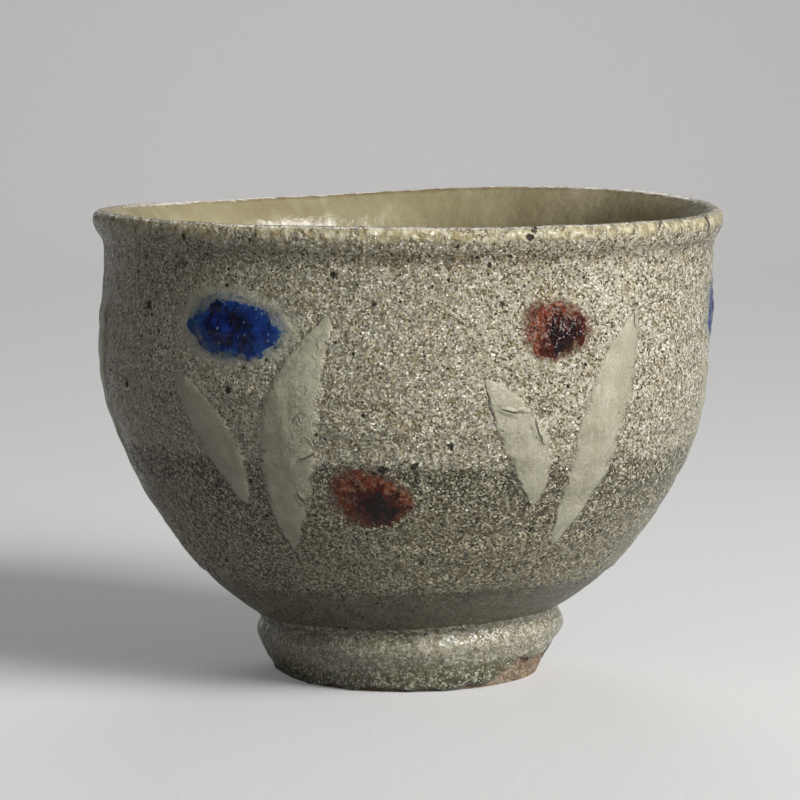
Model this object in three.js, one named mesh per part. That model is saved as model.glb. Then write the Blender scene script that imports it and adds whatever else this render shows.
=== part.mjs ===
import * as THREE from "three";

// Tea bowl of wheel-thrown stoneware. Millimetres, +Z up, the front faces -Y.
// A bearing is an angle around the bowl from the front, growing towards +X.

// Thrown wall, clay surface, from the underside up to the lip
const UNDERSIDE_HEIGHT = 9.4;
const HIP_RADIUS = 23.1;
const HIP_HEIGHT = 11.1;
const HIP_RISE_ANGLE = 7;
const HIP_REACH = 11.7;
const BELLY_RADIUS = 55.3;
const BELLY_HEIGHT = 59.8;
const BELLY_DROP = 22;
const NECK_RADIUS = 55.1;
const NECK_HEIGHT = 77.5;
const LIP_RADIUS = 57;
const LIP_HEIGHT = 85.5;
const LIP_THICKNESS = 2.1;
const LIP_TURN = 135;
const LIP_REACH = 3.4;

// Inside of the bowl
const WALL_THICKNESS = 3.8;
const FLOOR_THICKNESS = 5.4;
const POOL_RADIUS = 15;
const POOL_DEPTH = 1.2;
const POOL_RISE_ANGLE = 9;
const FLOOR_REACH = 19;

// Turned foot ring
const FOOT_BASE_RADIUS = 23.8;
const FOOT_BASE_WIDTH = 4.2;
const FOOT_WAIST_RADIUS = 25.6;
const FOOT_WAIST_HEIGHT = 3.8;
const FOOT_LEDGE_RADIUS = 27.4;
const FOOT_LEDGE_HEIGHT = 8.1;
const FOOT_NECK_RADIUS = 26.6;
const FOOT_RECESS_RADIUS = 18.2;

// Fired layers and the clearance left between neighbouring pieces
const CLEARANCE = 0.25;
const GLAZE_THICKNESS = 0.45;
const SLIP_THICKNESS = 0.5;
const DAB_THICKNESS = 0.8;

// Edges of the glaze coats
const DIP_HEIGHT = 44.2;
const DIP_WAVE = 1;
const DIP_WAVE_BEARING = 60;
const DIP_WAVE_REACH = 9;
const FOOT_GLAZE_HEIGHT = 1.1;
const BARE_PATCH_BEARING = 68;
const BARE_PATCH_SPREAD = 28;
const BARE_PATCH_RISE = 3.2;

// Irregularities of hand throwing
const RIM_WAVE = 1.1;
const RIM_WAVE_SKEW = 0.4;
const RIM_WAVE_START = 42;
const RIM_OVAL = 0.35;
const BELLY_LEAN = 0.8;
const BELLY_LEAN_SPREAD = 13;
const FOOT_TILT = 0.9;
const FOOT_WOBBLE = 0.3;
const DENT_DEPTH = 0.55;
const DENT_WIDTH = 15;
const DENT_RISE = 7;
const DENT_HEIGHT = 75;
const DENT_BEARINGS = [-78, 28, 118, 197];

// Brushed slip leaves with a round dab of colour beside each pair
const SPRAY_COUNT = 6;
const SPRAY_BEARING = -26;
const SPRAY_HEIGHT = 29;
const LONG_LEAF_WIDTH = 11;
const LONG_LEAF_RISE = 42;
const LONG_LEAF_LEAN = 12;
const SHORT_LEAF_WIDTH = 8.5;
const SHORT_LEAF_RISE = 23;
const SHORT_LEAF_LEAN = -12;
const SHORT_LEAF_SIDE = -7;
const SHORT_LEAF_START = 8;
const LEAF_BEND = 4;
const LEAF_TAPER = 0.8;
const LEAF_FALL = 0.4;
const HIGH_DAB_SIDE = -6;
const HIGH_DAB_RISE = 39;
const LOW_DAB_SIDE = 16;
const LOW_DAB_RISE = 10;
const COBALT_WIDTH = 19;
const COBALT_HEIGHT = 11.5;
const IRON_WIDTH = 13.5;
const IRON_HEIGHT = 11;
const DAB_OVAL = 0.06;
const DAB_LOBES = 0.05;

// Fineness of the facets
const AROUND = 44;
const LIP_STEP = 45;
const LEAF_STEPS = 9;
const LEAF_LANES = 4;
const DAB_STEPS = 14;
const DAB_RINGS = 3;

const radians = THREE.MathUtils.degToRad;
const coatTop = CLEARANCE + GLAZE_THICKNESS;
const brushBase = coatTop + CLEARANCE;

function heading(length, angle) {
  return new THREE.Vector2(length * Math.cos(radians(angle)), length * Math.sin(radians(angle)));
}

// Half section of the clay: out along the underside, up the wall, over the lip and down the inside
const lipRound = LIP_THICKNESS / 2;
const lipMiddle = LIP_HEIGHT - lipRound;
const floorHeight = UNDERSIDE_HEIGHT + FLOOR_THICKNESS;
const poolEdge = new THREE.Vector2(POOL_RADIUS, floorHeight + POOL_DEPTH);
const hipGuide = new THREE.Vector2(HIP_RADIUS, HIP_HEIGHT).add(heading(HIP_REACH, HIP_RISE_ANGLE));
const poolGuide = poolEdge.clone().add(heading(FLOOR_REACH, POOL_RISE_ANGLE));
const innerNeck = NECK_RADIUS - WALL_THICKNESS;
const innerBelly = BELLY_RADIUS - WALL_THICKNESS;
const bellyLow = BELLY_HEIGHT - BELLY_DROP;
const shoulder = (BELLY_HEIGHT + NECK_HEIGHT) / 2;
const flare = (NECK_HEIGHT + lipMiddle) / 2;
const lipCentre = new THREE.Vector2(LIP_RADIUS - lipRound, lipMiddle);
const lipGuide = lipCentre.clone().add(heading(lipRound, LIP_TURN)).add(heading(LIP_REACH, LIP_TURN + 90));

const clay = new THREE.Path();
clay.moveTo(0, UNDERSIDE_HEIGHT);
clay.lineTo(HIP_RADIUS, HIP_HEIGHT);
clay.bezierCurveTo(hipGuide.x, hipGuide.y, BELLY_RADIUS, bellyLow, BELLY_RADIUS, BELLY_HEIGHT);
clay.bezierCurveTo(BELLY_RADIUS, shoulder, NECK_RADIUS, shoulder, NECK_RADIUS, NECK_HEIGHT);
clay.bezierCurveTo(NECK_RADIUS, flare, LIP_RADIUS, flare, LIP_RADIUS, lipMiddle);
clay.absarc(lipCentre.x, lipCentre.y, lipRound, 0, radians(LIP_TURN), false);
clay.bezierCurveTo(lipGuide.x, lipGuide.y, innerNeck, flare, innerNeck, NECK_HEIGHT);
clay.bezierCurveTo(innerNeck, shoulder, innerBelly, shoulder, innerBelly, BELLY_HEIGHT);
clay.bezierCurveTo(innerBelly, bellyLow, poolGuide.x, poolGuide.y, poolEdge.x, poolEdge.y);
clay.quadraticCurveTo(POOL_RADIUS / 2, floorHeight, 0, floorHeight);

// A line of stations: points with the outward normal and the length run so far
function stationsAlong(curves, steps) {
  const stations = [];
  let run = 0;
  curves.forEach((curve, index) => {
    for (let step = stations.length ? 1 : 0; step <= steps[index]; step += 1) {
      const place = curve.getPoint(step / steps[index]);
      const ahead = curve.getTangent(step / steps[index]);
      const previous = stations.at(-1);
      run += previous ? place.distanceTo(previous.place) : 0;
      stations.push({ place, normal: new THREE.Vector2(ahead.y, -ahead.x), run });
    }
  });
  return stations;
}

function stationBetween(first, second, share) {
  return {
    place: first.place.clone().lerp(second.place, share),
    normal: first.normal.clone().lerp(second.normal, share).normalize(),
    run: first.run + share * (second.run - first.run),
  };
}

// The station where a measure of the line, growing along it, first reaches a value
function stationWhere(stations, measure, value) {
  const index = stations.findIndex((station) => measure(station) >= value);
  if (index < 1) {
    return index < 0 ? stations.at(-1) : stations[0];
  }
  const before = stations[index - 1];
  const after = stations[index];
  return stationBetween(before, after, (value - measure(before)) / (measure(after) - measure(before)));
}

const clayCurves = clay.curves;
const lipSteps = LIP_TURN / LIP_STEP;
const clayStations = stationsAlong(clayCurves, [2, 8, 3, 4, lipSteps, 4, 3, 7, 2]);
const crestRun = clayStations.find((station) => station.place.y >= LIP_HEIGHT - 1e-6).run;
const wallStations = clayStations.filter((station) => station.run <= crestRun);

const byRun = (station) => station.run;
const byHeight = (station) => station.place.y;
const byRadius = (station) => station.place.x;
const wallAt = (height) => stationWhere(wallStations, byHeight, height);
const underAt = (radius) => stationWhere(wallStations, byRadius, radius);

function stretch(stations, first, last) {
  const isInside = (station) => station.run > first.run + 1e-6 && station.run < last.run - 1e-6;
  return [first, ...stations.filter(isInside), last];
}

function offset(stations, distance) {
  return stations.map((station) => station.place.clone().addScaledVector(station.normal, distance));
}

function closed(points) {
  return [...points, points[0].clone()];
}

// Where the potter's hand puts a point of the true round form
function smooth(value, low, high) {
  return THREE.MathUtils.smoothstep(value, low, high);
}

function dentAt(bearing, height) {
  const rise = (height - DENT_HEIGHT) / DENT_RISE;
  return DENT_BEARINGS.reduce((depth, middle) => {
    const turn = THREE.MathUtils.euclideanModulo(bearing - radians(middle) + Math.PI, 2 * Math.PI) - Math.PI;
    const side = turn / radians(DENT_WIDTH);
    return depth + DENT_DEPTH * Math.exp(-side * side - rise * rise);
  }, 0);
}

function handThrown(bearing, radius, height) {
  const upper = smooth(height, RIM_WAVE_START, LIP_HEIGHT);
  const footward = 1 - smooth(height, FOOT_LEDGE_HEIGHT, 2 * FOOT_LEDGE_HEIGHT);
  const back = (1 - Math.cos(bearing)) / 2;
  const wave = RIM_WAVE * back * (RIM_WAVE_SKEW * Math.sin(bearing) - Math.sin(2 * bearing));
  const oval = -RIM_OVAL * Math.cos(2 * bearing) * upper * (radius / LIP_RADIUS);
  const wobble = FOOT_WOBBLE * Math.cos(3 * bearing + 1) * footward * (radius / FOOT_LEDGE_RADIUS);
  const spread = radius + oval + wobble - dentAt(bearing, height) * (radius / BELLY_RADIUS);
  const belly = (height - BELLY_HEIGHT) / BELLY_LEAN_SPREAD;
  const window = (height / FOOT_LEDGE_HEIGHT) * Math.exp(1 - height / FOOT_LEDGE_HEIGHT);
  const tilt = FOOT_TILT * Math.sin(bearing) * Math.min(1, radius / FOOT_LEDGE_RADIUS) * window;
  return new THREE.Vector3(
    spread * Math.sin(bearing) - BELLY_LEAN * Math.exp(-belly * belly),
    -spread * Math.cos(bearing),
    height + wave * upper + tilt,
  );
}

// A section turned round the axis, its edge slid along the wall and its form loosened by hand
function turned(section, slide = (bearing, radius, height) => [radius, height]) {
  const geometry = new THREE.LatheGeometry(section, AROUND);
  geometry.rotateX(Math.PI / 2);
  const points = geometry.attributes.position;
  for (let index = 0; index < points.count; index += 1) {
    const bearing = Math.atan2(points.getX(index), -points.getY(index));
    const round = Math.hypot(points.getX(index), points.getY(index));
    const [radius, height] = slide(bearing, round, points.getZ(index));
    const place = handThrown(bearing, radius, height);
    points.setXYZ(index, place.x, place.y, place.z);
  }
  geometry.deleteAttribute("normal");
  geometry.deleteAttribute("uv");
  geometry.computeVertexNormals();
  return geometry;
}

// Coats of glaze
function coatSection(stations) {
  return closed([...offset(stations, coatTop), ...offset(stations, CLEARANCE).reverse()]);
}

function dipSlide(bearing, radius, height) {
  const near = Math.max(0, 1 - Math.abs(height - DIP_HEIGHT) / DIP_WAVE_REACH);
  const moved = height + DIP_WAVE * Math.cos(2 * bearing + radians(DIP_WAVE_BEARING)) * near;
  return [radius + byRadius(wallAt(moved)) - byRadius(wallAt(height)), moved];
}

const coatStart = underAt(FOOT_NECK_RADIUS + coatTop + CLEARANCE);
const lowerEnd = wallAt(DIP_HEIGHT - CLEARANCE / 2);
const upperStart = wallAt(DIP_HEIGHT + CLEARANCE / 2);
const upperEnd = wallStations.at(-1);
const innerStart = stationWhere(clayStations, byRun, crestRun + CLEARANCE);
const lowerSection = coatSection(stretch(clayStations, coatStart, lowerEnd));
const upperSection = coatSection(stretch(clayStations, upperStart, upperEnd));
const innerStations = stretch(clayStations, innerStart, clayStations.at(-1));
const innerSection = [...offset(innerStations, CLEARANCE).reverse(), ...offset(innerStations, coatTop)];

// Foot ring under the body, and the glaze on its outer side
const footNeckHeight = byHeight(underAt(FOOT_NECK_RADIUS)) - CLEARANCE;
const footSide = new THREE.SplineCurve([
  new THREE.Vector2(FOOT_BASE_RADIUS, 0),
  new THREE.Vector2(FOOT_WAIST_RADIUS, FOOT_WAIST_HEIGHT),
  new THREE.Vector2(FOOT_LEDGE_RADIUS, FOOT_LEDGE_HEIGHT),
  new THREE.Vector2(FOOT_NECK_RADIUS, footNeckHeight),
]);
const footStations = stationsAlong([footSide], [6]);
const footTop = stretch(wallStations, underAt(FOOT_RECESS_RADIUS), underAt(FOOT_NECK_RADIUS));
const footRoof = offset(footTop, CLEARANCE).reverse();
const footSection = closed([
  new THREE.Vector2(FOOT_BASE_RADIUS - FOOT_BASE_WIDTH, 0),
  ...footStations.slice(0, -1).map((station) => station.place),
  ...footRoof,
]);
const footAt = (height) => stationWhere(footStations, byHeight, height);
const footCoatStart = footAt(FOOT_GLAZE_HEIGHT);
const footCoatEnd = footAt(footNeckHeight - CLEARANCE);
const footCoatSection = coatSection(stretch(footStations, footCoatStart, footCoatEnd));

function bareSlide(bearing, radius, height) {
  const side = (bearing - radians(BARE_PATCH_BEARING)) / radians(BARE_PATCH_SPREAD);
  const rise = BARE_PATCH_RISE * Math.exp(-side * side * side * side);
  const near = Math.max(0, 1 - (height - FOOT_GLAZE_HEIGHT) / (FOOT_LEDGE_HEIGHT - FOOT_GLAZE_HEIGHT));
  const moved = height + rise * near;
  return [radius + byRadius(footAt(moved)) - byRadius(footAt(height)), moved];
}

// A raised brush mark: two sheets over the same patch of wall that meet along its edge
function onWall(bearing, across, height, lift) {
  const station = wallAt(height);
  const place = station.place.clone().addScaledVector(station.normal, lift);
  return handThrown(bearing + across / byRadius(station), place.x, place.y);
}

function brushMark(rows, columns, patchAt, bearing, thickness) {
  const corners = [];
  const addFace = (first, second, third) => {
    const flat = first.distanceTo(second) * second.distanceTo(third) * third.distanceTo(first);
    if (flat > 1e-9) {
      corners.push(first, second, third);
    }
  };
  const pointAt = (row, column, swell) => {
    const patch = patchAt(row / rows, column / columns);
    return onWall(bearing, patch.across, patch.height, brushBase + swell * patch.fullness);
  };
  for (let row = 0; row < rows; row += 1) {
    for (let column = 0; column < columns; column += 1) {
      for (const swell of [thickness, 0]) {
        const nearLeft = pointAt(row, column, swell);
        const nearRight = pointAt(row, column + 1, swell);
        const farRight = pointAt(row + 1, column + 1, swell);
        const farLeft = pointAt(row + 1, column, swell);
        if (swell > 0) {
          addFace(nearLeft, nearRight, farRight);
          addFace(nearLeft, farRight, farLeft);
        } else {
          addFace(nearLeft, farRight, nearRight);
          addFace(nearLeft, farLeft, farRight);
        }
      }
    }
  }
  const geometry = new THREE.BufferGeometry().setFromPoints(corners);
  geometry.computeVertexNormals();
  return geometry;
}

function leaf(bearing, side, start, lean, rise, width) {
  const bend = Math.sign(lean) * LEAF_BEND;
  const spine = new THREE.QuadraticBezierCurve(
    new THREE.Vector2(side, SPRAY_HEIGHT + start),
    new THREE.Vector2(side + lean / 2 - bend, SPRAY_HEIGHT + start + rise / 2),
    new THREE.Vector2(side + lean, SPRAY_HEIGHT + start + rise),
  );
  const patchAt = (along, lane) => {
    const place = spine.getPoint(along);
    const ahead = spine.getTangent(along);
    const reach = 2 * lane - 1;
    const half = (width / 2) * Math.sin(Math.PI * along) ** LEAF_TAPER;
    const outermost = along === 0 || along === 1 || Math.abs(reach) === 1;
    return {
      across: place.x + ahead.y * half * reach,
      height: place.y - ahead.x * half * reach,
      fullness: outermost ? 0 : Math.sqrt(1 - reach * reach) * Math.sin(Math.PI * along) ** LEAF_FALL,
    };
  };
  return brushMark(LEAF_STEPS, LEAF_LANES, patchAt, bearing, SLIP_THICKNESS);
}

function dab(bearing, side, rise, width, height) {
  const patchAt = (turn, reach) => {
    const angle = 2 * Math.PI * (turn % 1);
    const outline = 1 + DAB_OVAL * Math.cos(2 * angle + 1) + DAB_LOBES * Math.cos(3 * angle);
    return {
      across: side + (width / 2) * reach * outline * Math.cos(angle),
      height: SPRAY_HEIGHT + rise + (height / 2) * reach * outline * Math.sin(angle),
      fullness: reach === 1 ? 0 : Math.sqrt(1 - reach * reach),
    };
  };
  return brushMark(DAB_STEPS, DAB_RINGS, patchAt, bearing, DAB_THICKNESS);
}

// Colours of the fired materials
const finishes = {
  clay: { color: 0xb49a80, roughness: 0.85 },
  innerGlaze: { color: 0xc2b794, roughness: 0.35 },
  upperGlaze: { color: 0xb3a88a, roughness: 0.5 },
  lowerGlaze: { color: 0x918a78, roughness: 0.55 },
  footGlaze: { color: 0xa3a084, roughness: 0.3 },
  slip: { color: 0xcac6b0, roughness: 0.4 },
  cobalt: { color: 0x1c3c86, roughness: 0.15 },
  iron: { color: 0x57291d, roughness: 0.25 },
};

const bowl = new THREE.Group();

function place(name, geometry, finish) {
  const mesh = new THREE.Mesh(geometry, new THREE.MeshStandardMaterial({ ...finish, metalness: 0 }));
  mesh.name = name;
  bowl.add(mesh);
}

place("bowl_body", turned(offset(clayStations, 0)), finishes.clay);
place("foot_ring", turned(footSection), finishes.clay);
place("inner_glaze", turned(innerSection), finishes.innerGlaze);
place("upper_glaze", turned(upperSection, dipSlide), finishes.upperGlaze);
place("lower_glaze", turned(lowerSection, dipSlide), finishes.lowerGlaze);
place("foot_glaze", turned(footCoatSection, bareSlide), finishes.footGlaze);

let cobaltCount = 0;
let ironCount = 0;

function placeDab(isCobalt, bearing, side, rise) {
  if (isCobalt) {
    cobaltCount += 1;
    const cobaltDab = dab(bearing, side, rise, COBALT_WIDTH, COBALT_HEIGHT);
    place(`cobalt_dab_${cobaltCount}`, cobaltDab, finishes.cobalt);
  } else {
    ironCount += 1;
    const ironDab = dab(bearing, side, rise, IRON_WIDTH, IRON_HEIGHT);
    place(`iron_dab_${ironCount}`, ironDab, finishes.iron);
  }
}

for (let spray = 0; spray < SPRAY_COUNT; spray += 1) {
  const bearing = radians(SPRAY_BEARING + (360 * spray) / SPRAY_COUNT);
  const isEven = spray % 2 === 0;
  const longLeaf = leaf(bearing, 0, 0, LONG_LEAF_LEAN, LONG_LEAF_RISE, LONG_LEAF_WIDTH);
  const shortLeaf = leaf(
    bearing,
    SHORT_LEAF_SIDE,
    SHORT_LEAF_START,
    SHORT_LEAF_LEAN,
    SHORT_LEAF_RISE,
    SHORT_LEAF_WIDTH,
  );
  place(`leaf_long_${spray + 1}`, longLeaf, finishes.slip);
  place(`leaf_short_${spray + 1}`, shortLeaf, finishes.slip);
  placeDab(isEven, bearing, HIGH_DAB_SIDE, HIGH_DAB_RISE);
  if (isEven) {
    placeDab(false, bearing, LOW_DAB_SIDE, LOW_DAB_RISE);
  }
}

export default bowl;
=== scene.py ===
import math

import bpy
import numpy as np
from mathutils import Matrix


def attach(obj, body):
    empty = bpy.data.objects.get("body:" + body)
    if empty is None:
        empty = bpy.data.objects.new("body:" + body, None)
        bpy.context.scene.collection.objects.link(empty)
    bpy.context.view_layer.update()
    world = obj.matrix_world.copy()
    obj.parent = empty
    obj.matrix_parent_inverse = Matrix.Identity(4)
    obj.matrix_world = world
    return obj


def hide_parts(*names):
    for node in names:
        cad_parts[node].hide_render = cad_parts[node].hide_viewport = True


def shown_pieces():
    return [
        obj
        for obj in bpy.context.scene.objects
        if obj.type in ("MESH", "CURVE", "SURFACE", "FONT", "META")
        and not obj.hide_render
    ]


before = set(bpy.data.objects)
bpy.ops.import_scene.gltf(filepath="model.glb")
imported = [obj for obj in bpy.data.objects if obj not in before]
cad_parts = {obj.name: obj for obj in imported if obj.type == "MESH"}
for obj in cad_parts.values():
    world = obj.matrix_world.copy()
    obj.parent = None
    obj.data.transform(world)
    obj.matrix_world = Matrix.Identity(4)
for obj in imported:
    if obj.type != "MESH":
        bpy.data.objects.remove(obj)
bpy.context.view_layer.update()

# Sizes in millimetres, as in the part's source; a bearing is an angle from the front towards +X
UNDERSIDE_HEIGHT = 9.4
HIP_RADIUS, HIP_HEIGHT, HIP_RISE_ANGLE, HIP_REACH = 23.1, 11.1, 7, 11.7
BELLY_RADIUS, BELLY_HEIGHT, BELLY_DROP = 55.3, 59.8, 22
NECK_RADIUS, NECK_HEIGHT = 55.1, 77.5
LIP_RADIUS, LIP_HEIGHT, LIP_THICKNESS, LIP_TURN, LIP_REACH = 57, 85.5, 2.1, 135, 3.4
WALL_THICKNESS, FLOOR_THICKNESS = 3.8, 5.4
POOL_RADIUS, POOL_DEPTH, POOL_RISE_ANGLE, FLOOR_REACH = 15, 1.2, 9, 19
FOOT_BASE_RADIUS, FOOT_BASE_WIDTH = 23.8, 4.2
FOOT_WAIST_RADIUS, FOOT_WAIST_HEIGHT = 25.6, 3.8
FOOT_LEDGE_RADIUS, FOOT_LEDGE_HEIGHT = 27.4, 8.1
FOOT_NECK_RADIUS, FOOT_RECESS_RADIUS = 26.6, 18.2
CLEARANCE, GLAZE_THICKNESS = 0.25, 0.45
DIP_HEIGHT, DIP_WAVE, DIP_WAVE_BEARING = 44.2, 1, 60
FOOT_GLAZE_HEIGHT = 1.1
BARE_PATCH_BEARING, BARE_PATCH_SPREAD, BARE_PATCH_RISE = 68, 28, 3.2
RIM_WAVE, RIM_WAVE_START, RIM_WAVE_SKEW, RIM_OVAL = 1.1, 42, 0.4, 0.35
BELLY_LEAN, BELLY_LEAN_SPREAD = 0.8, 13
FOOT_TILT, FOOT_WOBBLE = 0.9, 0.3
DENT_DEPTH, DENT_WIDTH, DENT_RISE, DENT_HEIGHT = 0.55, 15, 7, 75
DENT_BEARINGS = (-78, 28, 118, 197)
SPRAY_COUNT, SPRAY_BEARING, SPRAY_HEIGHT = 6, -26, 29
LONG_LEAF_WIDTH, LONG_LEAF_RISE, LONG_LEAF_LEAN = 11, 42, 12
SHORT_LEAF_WIDTH, SHORT_LEAF_RISE, SHORT_LEAF_LEAN = 8.5, 23, -12
SHORT_LEAF_SIDE, SHORT_LEAF_START, LEAF_BEND = -7, 8, 4
HIGH_DAB_SIDE, HIGH_DAB_RISE, LOW_DAB_SIDE, LOW_DAB_RISE = -6, 39, 16, 10
COBALT_WIDTH, COBALT_HEIGHT, IRON_WIDTH, IRON_HEIGHT = 19, 11.5, 13.5, 11
DAB_OVAL, DAB_LOBES = 0.06, 0.05
COAT_TOP = CLEARANCE + GLAZE_THICKNESS

# Relief that only this script has: throwing rings, the shelf above the trimmed zone, a crack in the lip,
# the foot's glaze edge and step, and how far the brushed colours swell and sink into the coat
RING_DEPTH, RING_TURNS, RING_WANDER = 0.06, 1.15, 1.6
SPIRAL_DEPTH, SPIRAL_TURNS, SPIRAL_TOP = 0.12, 0.95, 20
TURNING_DEPTH, TURNING_TURNS = 0.1, 1.7
TRIM_RADIUS, SHELF_RISE, SHELF_FADE, SHELF_SINK = 37.5, 0.28, 7, 0.1
LIP_SPREAD, LIP_PULL, LIP_PULL_UNEVEN = 6, 0.1, 0.17
NICK_BEARING, NICK_WIDTH = 68, 0.42
FOOT_EDGE_RADIUS, FOOT_EDGE_HEIGHT, FOOT_EDGE_LOWEST = 25.0, 0.45, 0.12
FOOT_STEP, FOOT_STEP_HEIGHT, FOOT_STEP_BEARING, FOOT_STEP_SLOPE = 0.5, 4.4, 40, 0.045
TABLE_GAP = 0.02
LEAF_SWELL, COBALT_SWELL, IRON_SWELL = 0.34, 0.9, 0.6
SINK, SINK_DEEPER, FULLNESS = 0.1, 0.2, 0.7

# Ridges and grooves: how high or deep, where their middle is, and how wide
LIP_ROLL, LIP_GROOVE = (0.06, 2.3, 1.3), (0.24, 5.8, 1.9)
FOOT_ROLL, FOOT_GROOVE = (0.22, 8.4, 1.5), (0.2, 10.5, 0.8)
EDGE_BEAD, EDGE_THINNING = (0.2, 0.8, 0.7), (0.3, 0, 0.35)

# Layers of noise in the relief: the amount and the size of each in millimetres, and its seed
COAT_LUMPS = ((0.13, 11, 1), (0.07, 4.2, 2))
COAT_GRIT = ((0.06, 1.4, 6), (0.07, 0.8, 7))
TRIM_EDGE = ((0.9, 13, 8), (0.45, 3.1, 10))
FOOT_CLAY_LUMPS = ((0.22, 3.2, 11), (0.12, 1.3, 12))
FOOT_LUMPS = ((0.26, 4.5, 21), (0.16, 1.9, 22), (0.08, 0.9, 23))
FOOT_EDGE = ((0.5, 3.5, 31), (0.4, 1.4, 32))
LEAF_EDGE = ((0.09, 7.0, 41), (0.06, 2.3, 42))
DAB_EDGE = ((0.13, 4.5, 51), (0.06, 1.8, 52))
DAB_LUMPS = ((0.22, 2.6, 53), (0.14, 1.1, 54))

# Columns round the axis and rows along a section, and steps along the clay's curves
OUTER_COLUMNS, INNER_COLUMNS, BODY_COLUMNS, FOOT_COLUMNS, FOOT_GLAZE_COLUMNS = 768, 384, 160, 240, 480
OUTER_ROWS, FOOT_GLAZE_ROWS, BACK_ROWS = 118, 70, 6
INNER_ROWS, INNER_BACK_ROWS = 130, 16
LEAF_ROWS, LEAF_LANES, DAB_SPOKES, DAB_RINGS = 129, 41, 121, 33
UNDER_STEPS, WALL_STEPS = 24, 90
BODY_UNDER_ROWS, BODY_STRIDE = 40, 5
MM = 0.001


def lattice_noise(points, size, seed):
    """Smooth noise from -1 to 1 on a lattice of a size in millimetres."""
    scaled = points / size
    corner = np.floor(scaled).astype(np.int64)
    part = scaled - corner
    part = part * part * (3 - 2 * part)
    total = np.zeros(points.shape[:-1])
    for step in np.ndindex(2, 2, 2):
        cell = corner + np.array(step)
        mixed = cell[..., 0] * 73856093 ^ cell[..., 1] * 19349663
        mixed = mixed ^ cell[..., 2] * 83492791 ^ seed * 2654435761
        mixed = (mixed ^ mixed >> 13) * 1274126177 & 0x7FFFFFFF
        mixed = (mixed ^ mixed >> 16) & 0xFFFF
        weight = np.prod(np.where(np.array(step) == 1, part, 1 - part), axis=-1)
        total += weight * (mixed / 32767.5 - 1)
    return total


def layered_noise(points, layers):
    return sum(amount * lattice_noise(points, size, seed) for amount, size, seed in layers)


def smooth(value, low, high):
    share = np.clip((value - low) / (high - low), 0, 1)
    return share * share * (3 - 2 * share)


def hump(value, middle, width):
    """1 at the middle, falling away over a width on both sides."""
    return np.exp(-(((value - middle) / width) ** 2))


def ridge(value, amount, middle, width):
    return amount * hump(value, middle, width)


def wrapped(angle):
    return (angle + math.pi) % (2 * math.pi) - math.pi


# Half section of the clay and lines offset from it
def heading(length, angle):
    return np.array([length * math.cos(math.radians(angle)), length * math.sin(math.radians(angle))])


def bezier(points, steps):
    first, second, third, last = (np.array(point, float) for point in points)
    t = np.linspace(0, 1, steps + 1)[:, None]
    return (1 - t) ** 3 * first + 3 * (1 - t) ** 2 * t * second + 3 * (1 - t) * t**2 * third + t**3 * last


def straight(first, last, steps):
    return np.linspace(np.array(first, float), np.array(last, float), steps + 1)


class Line:
    """A half section with its outward normals, read by the length run along it."""

    def __init__(self, curves):
        self.place = np.vstack([curves[0]] + [curve[1:] for curve in curves[1:]])
        ahead = np.gradient(self.place, axis=0)
        ahead /= np.linalg.norm(ahead, axis=1)[:, None]
        self.normal = np.stack([ahead[:, 1], -ahead[:, 0]], axis=1)
        steps = np.linalg.norm(np.diff(self.place, axis=0), axis=1)
        self.run = np.concatenate([[0], np.cumsum(steps)])

    def at(self, run, lift):
        radius, height = (np.interp(run, self.run, self.place[:, axis]) for axis in (0, 1))
        out, up = (np.interp(run, self.run, self.normal[:, axis]) for axis in (0, 1))
        return radius + out * lift, height + up * lift


lip_round = LIP_THICKNESS / 2
lip_middle = LIP_HEIGHT - lip_round
floor_height = UNDERSIDE_HEIGHT + FLOOR_THICKNESS
pool_edge = np.array([POOL_RADIUS, floor_height + POOL_DEPTH])
hip = np.array([HIP_RADIUS, HIP_HEIGHT])
inner_neck = NECK_RADIUS - WALL_THICKNESS
inner_belly = BELLY_RADIUS - WALL_THICKNESS
shoulder = (BELLY_HEIGHT + NECK_HEIGHT) / 2
flare = (NECK_HEIGHT + lip_middle) / 2
belly_low = BELLY_HEIGHT - BELLY_DROP
lip_centre = np.array([LIP_RADIUS - lip_round, lip_middle])
lip_arc = np.array([lip_centre + heading(lip_round, angle) for angle in np.linspace(0, LIP_TURN, 13)])
lip_guide = lip_arc[-1] + heading(LIP_REACH, LIP_TURN + 90)
hip_guide = hip + heading(HIP_REACH, HIP_RISE_ANGLE)
floor_guide = pool_edge + heading(FLOOR_REACH, POOL_RISE_ANGLE)
belly, neck, lip = (BELLY_RADIUS, BELLY_HEIGHT), (NECK_RADIUS, NECK_HEIGHT), (LIP_RADIUS, lip_middle)
belly_in, neck_in = (inner_belly, BELLY_HEIGHT), (inner_neck, NECK_HEIGHT)
pool_middle = np.array([POOL_RADIUS / 2, floor_height])
pool_guides = (pool_edge + (pool_middle - pool_edge) * 2 / 3, np.array([POOL_RADIUS / 3, floor_height]))

clay = Line([
    straight((0, UNDERSIDE_HEIGHT), hip, UNDER_STEPS),
    bezier((hip, hip_guide, (BELLY_RADIUS, belly_low), belly), WALL_STEPS),
    bezier((belly, (BELLY_RADIUS, shoulder), (NECK_RADIUS, shoulder), neck), 30),
    bezier((neck, (NECK_RADIUS, flare), (LIP_RADIUS, flare), lip), 24),
    lip_arc,
    bezier((lip_arc[-1], lip_guide, (inner_neck, flare), neck_in), 24),
    bezier((neck_in, (inner_neck, shoulder), (inner_belly, shoulder), belly_in), 30),
    bezier((belly_in, (inner_belly, belly_low), floor_guide, pool_edge), 80),
    bezier((pool_edge, *pool_guides, (0, floor_height)), 20),
])
crest = int(np.argmax(clay.place[:, 1]))
crest_run = clay.run[crest]
wall_run, wall_place = clay.run[: crest + 1], clay.place[: crest + 1]
belly_station = UNDER_STEPS + WALL_STEPS + 1


def run_at_height(height):
    return np.interp(height, wall_place[:, 1], wall_run)


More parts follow.
